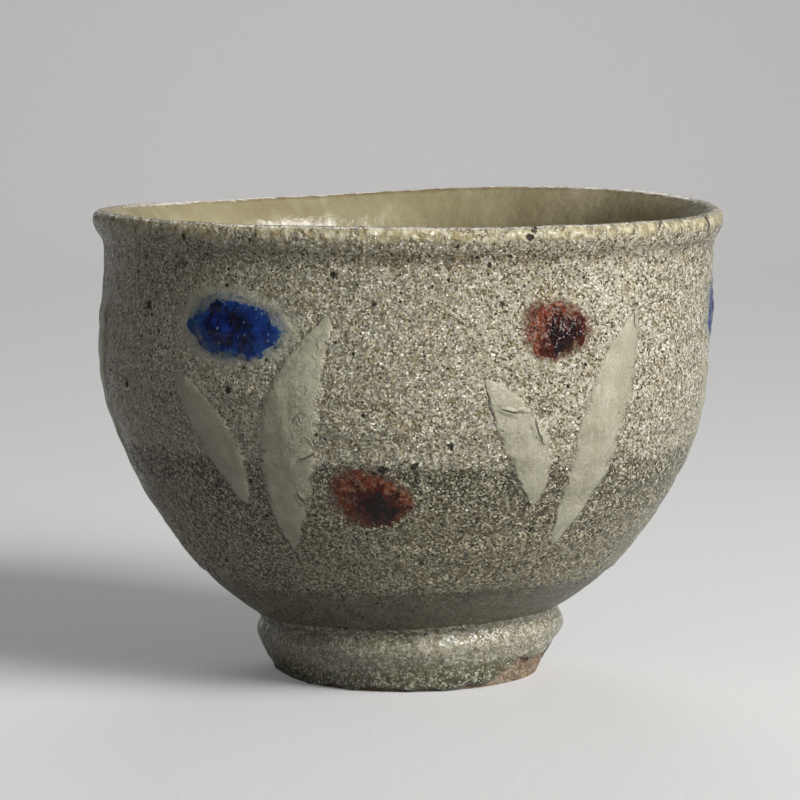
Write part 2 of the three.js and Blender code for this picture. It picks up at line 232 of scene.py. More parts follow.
def run_at_radius(radius):
    """The run below the belly, where the wall still widens."""
    return np.interp(radius, wall_place[:belly_station, 0], wall_run[:belly_station])


# The foot's outer side, through its base, waist, ledge and neck
def spline(points, steps):
    points = [np.array(point, float) for point in points]
    rows = []
    for share in np.linspace(0, len(points) - 1, steps + 1):
        index = min(int(share), len(points) - 2)
        t = share - index
        before, first = points[max(index - 1, 0)], points[index]
        last, after = points[index + 1], points[min(index + 2, len(points) - 1)]
        enter, leave = (last - before) / 2, (after - first) / 2
        cubic = (2 * first - 2 * last + enter + leave) * t**3
        rows.append(cubic + (-3 * first + 3 * last - 2 * enter - leave) * t**2 + enter * t + first)
    return np.array(rows)


foot_neck_height = clay.at(run_at_radius(FOOT_NECK_RADIUS), 0)[1] - CLEARANCE
foot_side = Line([spline((
    (FOOT_BASE_RADIUS, 0),
    (FOOT_WAIST_RADIUS, FOOT_WAIST_HEIGHT),
    (FOOT_LEDGE_RADIUS, FOOT_LEDGE_HEIGHT),
    (FOOT_NECK_RADIUS, foot_neck_height),
), 60)])


# Where the potter's hand puts a point of the true round form
def hand_thrown(bearing, radius, height):
    bearing, radius, height = np.broadcast_arrays(bearing, radius, height)
    upper = smooth(height, RIM_WAVE_START, LIP_HEIGHT)
    footward = 1 - smooth(height, FOOT_LEDGE_HEIGHT, 2 * FOOT_LEDGE_HEIGHT)
    back = (1 - np.cos(bearing)) / 2
    wave = RIM_WAVE * back * (RIM_WAVE_SKEW * np.sin(bearing) - np.sin(2 * bearing))
    oval = -RIM_OVAL * np.cos(2 * bearing) * upper * (radius / LIP_RADIUS)
    wobble = FOOT_WOBBLE * np.cos(3 * bearing + 1) * footward * (radius / FOOT_LEDGE_RADIUS)
    dent = np.zeros(radius.shape)
    for middle in DENT_BEARINGS:
        side = wrapped(bearing - math.radians(middle)) / math.radians(DENT_WIDTH)
        rise = (height - DENT_HEIGHT) / DENT_RISE
        dent += DENT_DEPTH * np.exp(-(side**2) - rise**2)
    spread = radius + oval + wobble - dent * (radius / BELLY_RADIUS)
    lean = BELLY_LEAN * hump(height, BELLY_HEIGHT, BELLY_LEAN_SPREAD)
    window = (height / FOOT_LEDGE_HEIGHT) * np.exp(1 - height / FOOT_LEDGE_HEIGHT)
    tilt = FOOT_TILT * np.sin(bearing) * np.minimum(1, radius / FOOT_LEDGE_RADIUS) * window
    x, y = spread * np.sin(bearing) - lean, -spread * np.cos(bearing)
    return np.stack([x, y, height + wave * upper + tilt], axis=-1)


def round_points(bearing, radius, height):
    bearing, radius, height = np.broadcast_arrays(bearing, radius, height)
    return np.stack([radius * np.sin(bearing), -radius * np.cos(bearing), height], axis=-1)


# Mesh pieces
slot_of = {}


def add_object(name, data):
    added = bpy.data.objects.new(name, data)
    bpy.context.scene.collection.objects.link(added)
    return added


def add_piece(name, points, faces, marks, node, slot, sharp=None):
    mesh = bpy.data.meshes.new(name)
    mesh.from_pydata((points * MM).tolist(), [], faces)
    for key, values in marks.items():
        mesh.attributes.new(key, "FLOAT", "POINT").data.foreach_set("value", values.astype(np.float32))
    mesh.validate()
    mesh.shade_smooth()
    if sharp is not None:
        ends = np.empty(2 * len(mesh.edges), dtype=np.int64)
        mesh.edges.foreach_get("vertices", ends)
        ends = sharp[ends.reshape(-1, 2)]
        mesh.edges.foreach_set("use_edge_sharp", (ends[:, 0] > 0) & (ends[:, 0] == ends[:, 1]))
    piece = add_object(name, mesh)
    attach(piece, "root")
    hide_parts(node)
    slot_of[name] = slot


def faces_of(quads):
    """Faces without the corners that fall together, and none that shrink to a line."""
    faces = [list(dict.fromkeys(quad)) for quad in quads.reshape(-1, 4).tolist()]
    return [face for face in faces if len(face) > 2]


def add_turned(name, grid, marks, node, slot, poles=False, sharp_rows=()):
    """A grid of rows along the section and columns round the axis.

    The rows close on themselves or, with poles, end on the axis."""
    rows, columns = grid.shape[:2]
    index = np.arange(rows * columns).reshape(rows, columns)
    sharp = np.zeros(rows * columns, dtype=np.int64)
    for mark, row in enumerate(sharp_rows, 1):
        sharp[index[row]] = mark
    low, high = index, np.roll(index, -1, axis=0)
    if poles:
        index[0], index[-1] = index[0, 0], index[-1, 0]
        low, high = index[:-1], index[1:]
    corners = [low, np.roll(low, -1, axis=1), np.roll(high, -1, axis=1), high]
    used, quads = np.unique(np.stack(corners, axis=-1), return_inverse=True)
    marks = {key: values.ravel()[used] for key, values in marks.items()}
    add_piece(name, grid.reshape(-1, 3)[used], faces_of(quads), marks, node, slot, sharp[used])


def add_patch(name, top, bottom, marks, node, slot):
    """Two sheets over one patch that share their edge."""
    rows, columns = top.shape[:2]
    both = np.concatenate([top.reshape(-1, 3), bottom.reshape(-1, 3)])
    keys = np.round(both * 10000).astype(np.int64)
    _, first, lookup = np.unique(keys, axis=0, return_index=True, return_inverse=True)
    lookup = lookup.reshape(2, rows, columns)
    faces = []
    for sheet, turn in zip(lookup, (1, -1)):
        corners = [sheet[:-1, :-1], sheet[:-1, 1:], sheet[1:, 1:], sheet[1:, :-1]]
        faces += faces_of(np.stack(corners[::turn], axis=-1))
    marks = {key: np.tile(values.ravel(), 2)[first] for key, values in marks.items()}
    add_piece(name, both[first], faces, marks, node, slot)


# Relief of the glazed surface: lumps, throwing rings, the edge left by trimming, and a pulled lip
def coat_relief(bearing, run, radius, height):
    points = round_points(bearing, radius, height)
    near_lip = hump(run, crest_run, LIP_SPREAD)
    lumps = layered_noise(points, COAT_LUMPS)
    rings = RING_DEPTH * np.sin(RING_TURNS * height + RING_WANDER * lattice_noise(points, 20, 4))
    past = above_trim(bearing, run)
    shelf = SHELF_RISE * np.exp(-np.maximum(0, past) / SHELF_FADE) * smooth(past, -0.5, 0.5)
    shelf = shelf - SHELF_SINK * smooth(-past, 0, 1.5)
    shelf = shelf * smooth(radius, FOOT_NECK_RADIUS, FOOT_NECK_RADIUS + 4)
    pulled = -LIP_PULL - LIP_PULL_UNEVEN * (1 + lattice_noise(points, 9, 5))
    below = crest_run - run
    uneven = 1 + 0.4 * lattice_noise(points, 14, 9)
    roll = ridge(below, *LIP_ROLL) - ridge(below, *LIP_GROOVE)
    return (lumps + rings) * (1 - 0.7 * near_lip) + shelf + pulled * near_lip + roll * uneven


def above_trim(bearing, run):
    ring = round_points(bearing, TRIM_RADIUS, 0.0)
    return run - run_at_radius(TRIM_RADIUS) - layered_noise(ring, TRIM_EDGE)


def spin(columns):
    """The bearings of columns all round."""
    return np.arange(columns) * (2 * math.pi / columns)


def dip_height(bearing):
    return DIP_HEIGHT + DIP_WAVE * np.cos(2 * bearing + math.radians(DIP_WAVE_BEARING))


def dab_outline(angle):
    return DAB_OVAL * np.cos(2 * angle + 1) + DAB_LOBES * np.cos(3 * angle)


def dab_reach(bearing, height, spot):
    """How far a point lies out from a dab's middle, 1 on its edge."""
    middle, side, rise, width, tall = spot
    radius = clay.at(run_at_height(SPRAY_HEIGHT + rise), 0)[0]
    across = wrapped(bearing - middle - side / radius) * radius / (width / 2)
    up = (height - SPRAY_HEIGHT - rise) / (tall / 2)
    return np.hypot(across, up) / (1 + dab_outline(np.arctan2(up, across)))


sprays = [math.radians(SPRAY_BEARING + 360 * spray / SPRAY_COUNT) for spray in range(SPRAY_COUNT)]
cobalt_spots = []
iron_spots = []
for spray, bearing in enumerate(sprays):
    high, low = (bearing, HIGH_DAB_SIDE, HIGH_DAB_RISE), (bearing, LOW_DAB_SIDE, LOW_DAB_RISE)
    if spray % 2:
        iron_spots.append((*high, IRON_WIDTH, IRON_HEIGHT))
    else:
        cobalt_spots.append((*high, COBALT_WIDTH, COBALT_HEIGHT))
        iron_spots.append((*low, IRON_WIDTH, IRON_HEIGHT))


def nick_mark(bearing, below):
    """A short crack down the lip."""
    side = wrapped(bearing - math.radians(NICK_BEARING)) * LIP_RADIUS
    across = side + 0.12 * np.sin(2.4 * below)
    return hump(across, 0, NICK_WIDTH) * smooth(below, 0.2, 0.6) * (1 - smooth(below, 2.2, 3.6))


def halo(bearing, height, spots, fade):
    """1 on the dabs, fading outside them over a share of their reach."""
    outside = np.min([dab_reach(bearing, height, spot) - 1 for spot in spots], axis=0)
    return np.exp(-np.maximum(0, outside) / fade)


def coat_marks(bearing, run, height):
    """What the dipped glaze's material reads at each point."""
    return {
        "above_dip": height - dip_height(bearing),
        "above_trim": above_trim(bearing, run),
        "below_lip": crest_run - run,
        "nick": nick_mark(bearing, crest_run - run),
        "blue_halo": halo(bearing, height, cobalt_spots, 0.5),
        "brown_halo": halo(bearing, height, iron_spots, 0.2),
    }


def coat_grid(line, bearing, start, end, rows, relief):
    """Outer rows from start to end, then back rows along the clay side."""
    share = np.linspace(0, 1, rows)[:, None]
    back = np.linspace(1, 0, BACK_ROWS)[:, None]
    run = start + (end - start) * share
    radius, height = line.at(run, COAT_TOP)
    lift = relief(bearing, run, radius, height)
    outer = hand_thrown(bearing, *line.at(run, COAT_TOP + lift))
    inner = hand_thrown(bearing, *line.at(start + (end - start) * back, CLEARANCE))
    return np.concatenate([outer, inner]), run, height


def pad(values):
    """A mark on the outer rows, and none on the back rows."""
    return np.concatenate([values, np.zeros((BACK_ROWS, values.shape[1]))])


def outer_relief(bearing, run, radius, height):
    grit = layered_noise(round_points(bearing, radius, height), COAT_GRIT)
    grit = grit * smooth(above_trim(bearing, run), -2, 1)
    grit = grit * (1 - 0.6 * smooth(run, crest_run - 2, crest_run))
    return coat_relief(bearing, run, radius, height) + grit


def build_outer_coats():
    bearing = spin(OUTER_COLUMNS)
    start = run_at_radius(FOOT_NECK_RADIUS + 0.2) + 0 * bearing
    dip = run_at_height(dip_height(bearing))
    for name, low, high in (("lower_glaze", start, dip), ("upper_glaze", dip, crest_run + 0 * bearing)):
        grid, run, height = coat_grid(clay, bearing, low, high, OUTER_ROWS, outer_relief)
        marks = {key: pad(values) for key, values in coat_marks(bearing, run, height).items()}
        add_turned(name + "_coat", grid, marks, name, name, sharp_rows=(0, OUTER_ROWS - 1))


def build_inner_coat():
    bearing = spin(INNER_COLUMNS)
    end = clay.run[-1]
    share = np.linspace(0, 1, INNER_ROWS)[:, None]
    share = share * (0.72 + 0.28 * share)
    run = crest_run + (end - crest_run) * share + 0 * bearing
    radius, height = clay.at(run, COAT_TOP)
    fade = np.minimum(1, radius / 8)
    lift = coat_relief(bearing, run, radius, height) * fade
    spiral = SPIRAL_DEPTH * np.sin(radius * SPIRAL_TURNS - bearing) * smooth(SPIRAL_TOP - height, -6, 4)
    top = hand_thrown(bearing, *clay.at(run, COAT_TOP + lift + spiral * fade))
    run_back = np.linspace(end, crest_run, INNER_BACK_ROWS)[:, None] + 0 * bearing
    bottom = hand_thrown(bearing, *clay.at(run_back, CLEARANCE))
    grid = np.concatenate([bottom, top])
    depth = np.concatenate([np.zeros(bottom.shape[:2]), run - crest_run])
    sharp_rows = (INNER_BACK_ROWS - 1, INNER_BACK_ROWS)
    marks = {"below_lip": depth}
    add_turned("inner_glaze_coat", grid, marks, "inner_glaze", "inner_glaze", True, sharp_rows)


def build_body():
    bearing = spin(BODY_COLUMNS)
    foot_end = run_at_radius(FOOT_NECK_RADIUS)
    under = np.linspace(0, foot_end, BODY_UNDER_ROWS)
    run = np.concatenate([under, clay.run[clay.run > foot_end][::BODY_STRIDE]])
    if run[-1] < clay.run[-1]:
        run = np.append(run, clay.run[-1])
    run = run[:, None] + 0 * bearing
    radius, height = clay.at(run, 0)
    turning = TURNING_DEPTH * np.sin(radius * TURNING_TURNS - bearing)
    turning = turning * smooth(FOOT_RECESS_RADIUS - radius, -1, 4) * np.minimum(1, radius / 3)
    in_recess = run < run_at_radius(FOOT_RECESS_RADIUS)
    grid = hand_thrown(bearing, radius, height + np.where(in_recess, turning, 0))
    add_turned("bowl_clay", grid, {}, "bowl_body", "clay", True)


def build_foot():
    bearing = spin(FOOT_COLUMNS)
    base_in = FOOT_BASE_RADIUS - FOOT_BASE_WIDTH
    side = foot_side.place[:-1]
    top_run = np.linspace(run_at_radius(FOOT_NECK_RADIUS), run_at_radius(FOOT_RECESS_RADIUS), 10)
    roof = np.stack(clay.at(top_run, CLEARANCE), axis=1)
    recess = straight(roof[-1], (base_in, 0), 20)[1:-1]
    base = straight((base_in, 0), (FOOT_BASE_RADIUS, 0), 10)[:-1]
    loop = np.vstack([base, side, roof, recess])
    radius, height = (loop[:, axis][:, None] + 0 * bearing for axis in (0, 1))
    points = round_points(bearing, radius, height)
    rough = layered_noise(points, FOOT_CLAY_LUMPS) * smooth(height, 0, 1.2) * (1 - smooth(height, 9, 10.4))
    grid = hand_thrown(bearing, radius + rough, height)
    add_turned("foot_clay", grid, {}, "foot_ring", "clay")


def foot_relief(bearing, radius, height):
    """Lumps, a rising step at the right, and a roll and a fillet below the neck."""
    points = round_points(bearing, radius, height)
    lumps = layered_noise(points, FOOT_LUMPS) - 0.12
    turned = wrapped(bearing)
    past = height - FOOT_STEP_HEIGHT - FOOT_STEP_SLOPE * (np.degrees(turned) - FOOT_STEP_BEARING)
    step = FOOT_STEP * np.exp(-np.maximum(0, past) / 3) * smooth(past, -0.55, 0.4)
    step = step * smooth(turned, math.radians(20), math.radians(48))
    step = step * (1 - smooth(turned, math.radians(120), math.radians(150)))
    roll = ridge(height, *FOOT_ROLL) - ridge(height, *FOOT_GROOVE)
    fillet = 1.0 + 0.5 * lattice_noise(points, 5, 24)
    fillet = fillet * smooth(height, foot_neck_height - 1.1, foot_neck_height)
    return np.maximum(-0.35, lumps * (1 - 0.5 * smooth(height, 4, 8)) + step) + (roll + fillet)


def build_foot_glaze():
    bearing = spin(FOOT_GLAZE_COLUMNS)
    side = (wrapped(bearing) - math.radians(BARE_PATCH_BEARING)) / math.radians(BARE_PATCH_SPREAD)
    uneven = layered_noise(round_points(bearing, FOOT_EDGE_RADIUS, 0.0), FOOT_EDGE)
    bare = np.exp(-(side**8))
    low = FOOT_EDGE_HEIGHT + uneven
    high = FOOT_GLAZE_HEIGHT + BARE_PATCH_RISE + 1.6 * uneven
    edge = np.maximum(FOOT_EDGE_LOWEST, low + (high - low) * bare)
    start = np.interp(edge, foot_side.place[:, 1], foot_side.run)
    end = foot_side.run[-1] + 0 * bearing

    def relief(bearing, run, radius, height):
        bead = ridge(run - start, *EDGE_BEAD) - ridge(run - start, *EDGE_THINNING)
        return foot_relief(bearing, radius, height) + bead

    grid, run, height = coat_grid(foot_side, bearing, start, end, FOOT_GLAZE_ROWS, relief)
    grid[..., 2] = np.maximum(grid[..., 2], TABLE_GAP)
    marks = {"up_foot": pad(height), "from_edge": pad(run - start), "bare": pad(bare + 0 * run)}
    sharp_rows = (0, FOOT_GLAZE_ROWS - 1)
    add_turned("foot_glaze_coat", grid, marks, "foot_glaze", "foot_glaze", sharp_rows=sharp_rows)


# Brushed leaves and dabs over the coats
def on_wall(bearing, across, height, lift):
    run = run_at_height(height)
    turned = bearing + across / clay.at(run, 0)[0]
    ground = COAT_TOP + coat_relief(turned, run, *clay.at(run, COAT_TOP))
    return hand_thrown(turned, *clay.at(run, ground + lift)), coat_marks(turned, run, height)


def build_leaf(name, node, bearing, side, start, lean, rise, width, seed):
    """A bent stroke with a ragged edge and brush lines."""
    bend = math.copysign(LEAF_BEND, lean)
    t = np.linspace(0, 1, LEAF_ROWS)[:, None]
    lane = np.sin(np.linspace(-1, 1, LEAF_LANES) * math.pi / 2)[None, :]
    foot = np.array([side, SPRAY_HEIGHT + start])
    tip = foot + np.array([lean, rise])
    guide = (foot + tip) / 2 - np.array([bend, 0])
    place = [(1 - t) ** 2 * foot[k] + 2 * (1 - t) * t * guide[k] + t**2 * tip[k] for k in (0, 1)]
    ahead = [2 * (1 - t) * (guide[k] - foot[k]) + 2 * t * (tip[k] - guide[k]) for k in (0, 1)]
    length = np.hypot(*ahead)
    border = np.stack(np.broadcast_arrays(t * rise, np.sign(lane) * 9.0, seed * 7.0 + 0 * lane), axis=-1)
    ragged = 1.08 + layered_noise(border, LEAF_EDGE)
    half = (width / 2) * np.sin(math.pi * t) ** FULLNESS * ragged
    across = place[0] + ahead[1] / length * half * lane
    height = place[1] - ahead[0] / length * half * lane
    full = np.maximum(0, 1 - lane**2) ** FULLNESS * np.minimum(1, 4 * np.sin(math.pi * t)) ** 0.5
    grain = np.stack([across, height, np.full(across.shape, seed * 13.0)], axis=-1)
    stroke = lattice_noise(grain * np.array([1.0, 0.25, 1.0]), 1.6, 43)
    swell = full * (LEAF_SWELL + 0.07 * stroke + 0.12 * lattice_noise(grain, 6.0, 44))
    top, marks = on_wall(bearing, across, height, swell - SINK)
    bottom = on_wall(bearing, across, height, -SINK - SINK_DEEPER * full)[0]
    marks["edge"] = np.abs(lane) + 0 * across
    add_patch(name, top, bottom, marks, node, "slip")


def build_dab(name, node, slot, spot, seed, thickness):
    """A lumpy pool that sags towards its lower edge."""
    bearing, side, rise, width, tall = spot
    angle = np.linspace(0, 2 * math.pi, DAB_SPOKES)[:, None]
    reach = np.linspace(0, 1, DAB_RINGS)[None, :] ** 0.85
    rim = np.stack([9 * np.cos(angle), 9 * np.sin(angle), np.full(angle.shape, seed * 5.0)], axis=-1)
    outline = 1.04 + dab_outline(angle) + layered_noise(rim, DAB_EDGE)
    across = side + width / 2 * reach * outline * np.cos(angle)
    height = SPRAY_HEIGHT + rise + tall / 2 * reach * outline * np.sin(angle)
    across[-1], height[-1] = across[0], height[0]
    full = np.maximum(0, 1 - reach**2) ** FULLNESS
    grain = np.stack([across, height, np.full(across.shape, seed * 17.0)], axis=-1)
    sag = (SPRAY_HEIGHT + rise - height) / (tall / 2)
    swell = full * thickness * (0.62 + 0.16 * sag + layered_noise(grain, DAB_LUMPS))
    top, marks = on_wall(bearing, across, height, np.maximum(0, swell) - SINK)
    bottom = on_wall(bearing, across, height, -SINK - SINK_DEEPER * full)[0]
    marks["edge"] = reach + 0 * across
    marks["core"] = np.hypot((across - side) / (width / 2) - 0.25, 0.3 - sag)
    add_patch(name, top, bottom, marks, node, slot)


build_body()
build_foot()
build_inner_coat()
build_outer_coats()
build_foot_glaze()
long_leaf = (0, 0, LONG_LEAF_LEAN, LONG_LEAF_RISE, LONG_LEAF_WIDTH)
short_leaf = (SHORT_LEAF_SIDE, SHORT_LEAF_START, SHORT_LEAF_LEAN, SHORT_LEAF_RISE, SHORT_LEAF_WIDTH)
for count, bearing in enumerate(sprays, 1):
    build_leaf(f"slip_leaf_long_{count}", f"leaf_long_{count}", bearing, *long_leaf, count)
    build_leaf(f"slip_leaf_short_{count}", f"leaf_short_{count}", bearing, *short_leaf, count + 10)
for count, spot in enumerate(cobalt_spots, 1):
    build_dab(f"cobalt_pool_{count}", f"cobalt_dab_{count}", "cobalt", spot, count, COBALT_SWELL)
for count, spot in enumerate(iron_spots, 1):
    build_dab(f"iron_pool_{count}", f"iron_dab_{count}", "iron", spot, count + 10, IRON_SWELL)


# Materials
def tone(code):
    """A colour's hex code as linear light with alpha."""
    linear = []
    for level in bytes.fromhex(code):
        level = level / 255
        linear.append(level / 12.92 if level <= 0.04045 else ((level + 0.055) / 1.055) ** 2.4)
    return (*linear, 1.0)


# Colours of the sand grains; the tan and dark ones multiply what they lie on, and the pale ones are partly
# white grains and partly painted glints
GRAIN_PALE_AND_GLINT = tone("f4f1e4")
GRAIN_TAN = (0.95, 0.81, 0.48, 1.0)
GRAIN_DARK = (0.15, 0.125, 0.07, 1.0)
# Colours of the dipped glaze, from the lip down
CREST_BROWN = tone("6a502e")
CRACK_DARK = tone("221a10")
# cream of the lip roll: partly thin glaze, partly painted highlight on the roll
ROLL_CREAM_HIGHLIGHT = tone("d4ccae")
# glass on the lip roll: its pale tone is partly painted highlight
ROLL_GLASS_AND_HIGHLIGHT = (tone("a4956b"), tone("dad3b3"))
# tan in the groove under the lip: partly a brown stain, partly painted shade
GROOVE_TAN_AND_SHADE = tone("8a7450")
UPPER_SAND = (tone("bab398"), tone("c8c2a9"))
UPPER_WARM = tone("b6a47a")
UPPER_GRAIN_AND_GLINT = tone("f4f1e2")
LOWER_SAND = (tone("968e71"), tone("706a54"))
LOWER_GRAIN_AND_GLINT = tone("eae3c6")
# greys of the trimmed zone: their darkness is painted shade under the hip
TURNED_GREY_AND_SHADE = (tone("443f30"), tone("635d49"))
# pale specks in the trimmed zone: partly grains, partly painted glints
TURNED_SPECK_AND_GLINT = tone("c2beac")
HALO_MILK = (tone("a6a38e"), tone("bab8a6"))
HALO_BLUE = tone("345a7c")
HALO_RUST = tone("683a22")
PINHOLE = tone("100c08")
PIT = tone("18110a")
RUST_SPOT = tone("88461c")
# Colours of the inner glaze
INNER_CREAM = (tone("958b6b"), tone("a89f7e"))
INNER_PALE = tone("bab396")
INNER_DARK = tone("867a58")
INNER_LIP = tone("745a36")
INNER_POOL = tone("8c8962")
INNER_CRACKLE = tone("706042")
INNER_SPOT = tone("382b1c")
# Colours of the slip, the cobalt and the iron
SLIP_CREAM = (tone("aca88f"), tone("c1bda5"))
SLIP_PALE = tone("cecbb6")
SLIP_DARK = tone("989277")
SLIP_CRACKLE = tone("766c52")
SLIP_TEAR = tone("4e4430")
SLIP_SPOT = tone("201a14")
COBALT_DEEP = (tone("040824"), tone("0e2c7a"))
COBALT_MID = tone("143a7e")
COBALT_EDGE = tone("3a6886")
COBALT_SPOT = tone("050710")
# pale bubbles in the cobalt: partly bubbles, partly painted glints
COBALT_BUBBLE_GLINT = tone("96b0cc")
IRON_CORE = (tone("0c0504"), tone("280c07"))
IRON_MID = tone("481409")
IRON_EDGE = tone("70341b")
IRON_FLECK = tone("b0886e")
IRON_VEIN = tone("1a0906")
# Colours of the foot's glaze and of the bare clay
FOOT_SAND = (tone("928e77"), tone("b0ab94"))
FOOT_OLIVE = tone("64623e")
FOOT_DARK = tone("3c3c22")
# darker tone at the top of the foot: painted shade under the bowl's hip
FOOT_TOP_SHADE = tone("64604f")
FOOT_THIN = tone("92765c")
FOOT_DRIP = tone("ccc9b8")
# pale beads on the foot: glassy beads in relief, their pale colour a painted glint
FOOT_BEAD_GLINT = tone("dedbcc")
FOOT_SPOT = tone("201c14")
CLAY_BUFF = (tone("937d63"), tone("ac977b"))
CLAY_FLASH = tone("aa7c56")
CLAY_SPOT = tone("38281c")
# Colours of the floor, as it is seen and as it throws light back
PAPER = (tone("d6d5d4"), tone("dcdbda"))
PAPER_BOUNCE = tone("807f7e")
WHITE = (1.0, 1.0, 1.0, 1.0)

# The specular levels, and the values between which most of a noise lies
GLAZE_SPECULAR, DAB_SPECULAR = 0.5, 0.25
NOISE_LOW, NOISE_HIGH = 0.3, 0.7


class Look:
    """Colour, roughness and relief in millimetres of one layer, as sockets."""

    def __init__(self, color, rough, height):
        self.color, self.rough, self.height = color, rough, height


class Tree:
    """A material's nodes, from sockets or plain values; sizes are in millimetres."""

    def __init__(self, name):
        self.material = bpy.data.materials.new(name)
        self.material.use_nodes = True
        self.nodes = self.material.node_tree.nodes
        self.links = self.material.node_tree.links
        self.nodes.clear()
        output = self.nodes.new("ShaderNodeOutputMaterial")
        self.shader = self.nodes.new("ShaderNodeBsdfPrincipled")
        self.links.new(self.shader.outputs[0], output.inputs[0])
        coordinate = self.nodes.new("ShaderNodeTexCoord")
        self.place = self.vector("MULTIPLY", coordinate.outputs["Object"], (1 / MM,) * 3)

    def feed(self, socket, value):
        if isinstance(value, bpy.types.NodeSocket):
            self.links.new(value, socket)
        else:
            socket.default_value = value

    def calc(self, operation, first, second=0.0, kind="ShaderNodeMath", output=0):
        node = self.nodes.new(kind)
        node.operation = operation
        self.feed(node.inputs[0], first)
        self.feed(node.inputs[1], second)
        return node.outputs[output]

    def vector(self, operation, first, second, output=0):
        return self.calc(operation, first, second, "ShaderNodeVectorMath", output)

    def add(self, first, second):
        return self.calc("ADD", first, second)

    def less(self, first, second):
        return self.calc("SUBTRACT", first, second)

    def times(self, first, second):
        return self.calc("MULTIPLY", first, second)

    def ramp(self, value, low, high, to_low=0.0, to_high=1.0):
        """A value's way from low to high, as a smooth step between two others."""
        node = self.nodes.new("ShaderNodeMapRange")
        node.interpolation_type = "SMOOTHSTEP"
        self.feed(node.inputs[0], value)
        for socket, level in zip(node.inputs[1:5], (low, high, to_low, to_high)):
            socket.default_value = level
        return node.outputs[0]

    def between(self, share, first, second):
        node = self.nodes.new("ShaderNodeMix")
        self.feed(node.inputs[0], share)
        self.feed(node.inputs[2], first)
        self.feed(node.inputs[3], second)
        return node.outputs[0]

    def blend(self, share, first, second, kind="MIX"):
        """Two colours mixed by a share."""
        node = self.nodes.new("ShaderNodeMix")
        node.data_type = "RGBA"
        node.blend_type = kind
        self.feed(node.inputs[0], share)
        self.feed(node.inputs[6], first)
        self.feed(node.inputs[7], second)
        return node.outputs[2]

    def tints(self, base, *layers):
        """A base colour moved towards others in turn, each by a share of an amount."""
        for share, amount, color in layers:
            base = self.blend(self.times(share, amount), base, color)
        return base

    def noise(self, size, detail=2.0, rough=0.5, place=None, output=0):
        node = self.nodes.new("ShaderNodeTexNoise")
        self.feed(node.inputs["Vector"], place or self.place)
        node.inputs["Scale"].default_value = 1 / size
        node.inputs["Detail"].default_value = detail
        node.inputs["Roughness"].default_value = rough
        return node.outputs[output]

    def drawn(self, size, detail, rough, rise):
        """Noise drawn out up the wall, by the share of the height that it reads."""
        return self.noise(size, detail, rough, self.vector("MULTIPLY", self.place, (1, 1, rise)))

    def stray(self, size, amount, detail=2.0, rough=0.5):
        """Noise about zero, by an amount."""
        return self.times(self.less(self.noise(size, detail, rough), 0.5), amount)

    def uneven(self, size, low, high, detail=2.0):
        """A value that wanders between two others."""
        return self.ramp(self.noise(size, detail), NOISE_LOW, NOISE_HIGH, low, high)

    def mottle(self, size, pair, detail=3.0, rough=0.5):
        """A pair of colours in soft patches."""
        return self.blend(self.ramp(self.noise(size, detail, rough), NOISE_LOW, NOISE_HIGH), *pair)

    def warped(self, size, amount):
        """The place pushed about by noise, by an amount."""
        push = self.vector("SUBTRACT", self.noise(size, output=1), (0.5,) * 3)
        push = self.vector("MULTIPLY", push, (2 * amount,) * 3)
        return self.vector("ADD", self.place, push)

    def cells(self, size, feature="F1", place=None):
        node = self.nodes.new("ShaderNodeTexVoronoi")
        node.feature = feature
        self.feed(node.inputs["Vector"], place or self.place)
        node.inputs["Scale"].default_value = 1 / size
        return node.outputs

    def split(self, color):
        node = self.nodes.new("ShaderNodeSeparateColor")
        self.feed(node.inputs[0], color)
        return node.outputs

    def mark(self, name):
        """A value that the mesh carries at its points."""
        node = self.nodes.new("ShaderNodeAttribute")
        node.attribute_name = name
        return node.outputs["Fac"]

    def finish(self, look, specular):
        """The material with a look, its relief as bump."""
        bump = self.nodes.new("ShaderNodeBump")
        bump.inputs["Strength"].default_value = 1.0
        bump.inputs["Distance"].default_value = MM
        self.feed(bump.inputs["Height"], look.height)
        self.feed(self.shader.inputs["Base Color"], look.color)
        self.feed(self.shader.inputs["Roughness"], look.rough)
        self.feed(self.shader.inputs["Normal"], bump.outputs[0])
        self.shader.inputs["Specular IOR Level"].default_value = specular
        return self.material


def specks(tree, size, radius, keep):
    """Uneven specks of about a radius, kept in a share of the cells of a size."""
    cell = tree.cells(size, place=tree.warped(radius * 1.4, radius * 0.9))
    chance = tree.split(cell["Color"])
    span = tree.times(tree.add(chance["Green"], 0.3), radius / size)
    inside = tree.less(span, cell["Distance"])
    kept = tree.calc("LESS_THAN", chance["Red"], keep)
    return tree.times(tree.ramp(inside, -0.1 * radius / size, 0.3 * radius / size), kept)


def crackle(tree, size, warp, patch, few, many):
    """Fine lines between cells of a size, broken up by noise of the size of a patch."""
    edge = tree.cells(size, "DISTANCE_TO_EDGE", tree.warped(*warp))["Distance"]
    return tree.times(tree.ramp(edge, 0.03, 0.0), tree.ramp(tree.noise(patch), few, many))


def facets(tree, size, steep):
    """Grains of a size with a chance each, and their height as facets tilted at random."""
    place = tree.warped(0.8, 0.15)
    cell = tree.cells(size, place=place)
    tilt = tree.vector("MULTIPLY", tree.vector("SUBTRACT", cell["Color"], (0.5,) * 3), (steep,) * 3)
    height = tree.vector("DOT_PRODUCT", tree.vector("SUBTRACT", place, cell["Position"]), tilt, 1)
    return tree.split(cell["Color"]), height


def cover(tree, share, under, over, show_through=0.15):
    """One layer over another by a share; some of the lower relief shows through."""
    color = tree.blend(share, under.color, over.color)
    rough = tree.between(share, under.rough, over.rough)
    veiled = tree.times(under.height, tree.ramp(share, 0.0, 1.0, 1.0, show_through))
    height = tree.add(veiled, tree.times(over.height, share))
    return Look(color, rough, height)


